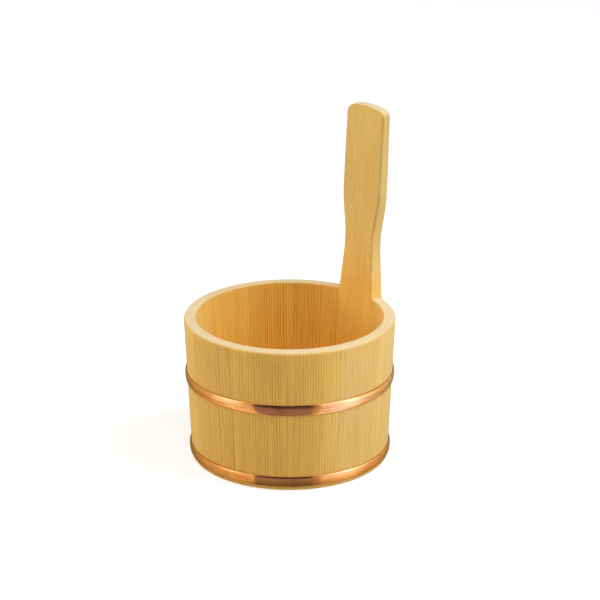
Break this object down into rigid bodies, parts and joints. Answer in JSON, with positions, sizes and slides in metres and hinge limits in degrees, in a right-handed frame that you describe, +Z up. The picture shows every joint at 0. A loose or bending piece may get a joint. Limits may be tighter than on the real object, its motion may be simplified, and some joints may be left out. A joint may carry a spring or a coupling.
{
  "type": "handled bath pail",
  "caption": "Tapered pail of softwood staves with half-round copper hoops, a floor let into a groove, and one long stave that rises from the rim as an upright handle.",
  "frame": {"origin": "on the ground, under the centre of the floor", "axes": "+Z up; the picture looks along +Y with +X to the right; the handle stands 42.6 degrees from +X towards +Y"},
  "size_m": [0.1798, 0.1798, 0.2919],
  "materials": {
    "pale_wood": "straight-grained cypress, planed smooth and left bare",
    "bamboo": "split bamboo, whittled",
    "copper": "bright copper, lightly brushed round the hoop"
  },
  "bodies": {
    "root": {"stave_01": "pale_wood", "stave_02": "pale_wood", "stave_03": "pale_wood", "stave_04": "pale_wood", "stave_05": "pale_wood", "stave_06": "pale_wood", "stave_07": "pale_wood", "stave_08": "pale_wood", "stave_09": "pale_wood", "stave_10": "pale_wood", "stave_11": "pale_wood", "handle_stave": "pale_wood", "floor_plank_01": "pale_wood", "floor_plank_02": "pale_wood", "floor_plank_03": "pale_wood", "floor_pegs": "bamboo", "lower_stave_pegs": "bamboo", "upper_stave_pegs": "bamboo", "lower_hoop": "copper", "upper_hoop": "copper"}
  },
  "joints": []
}
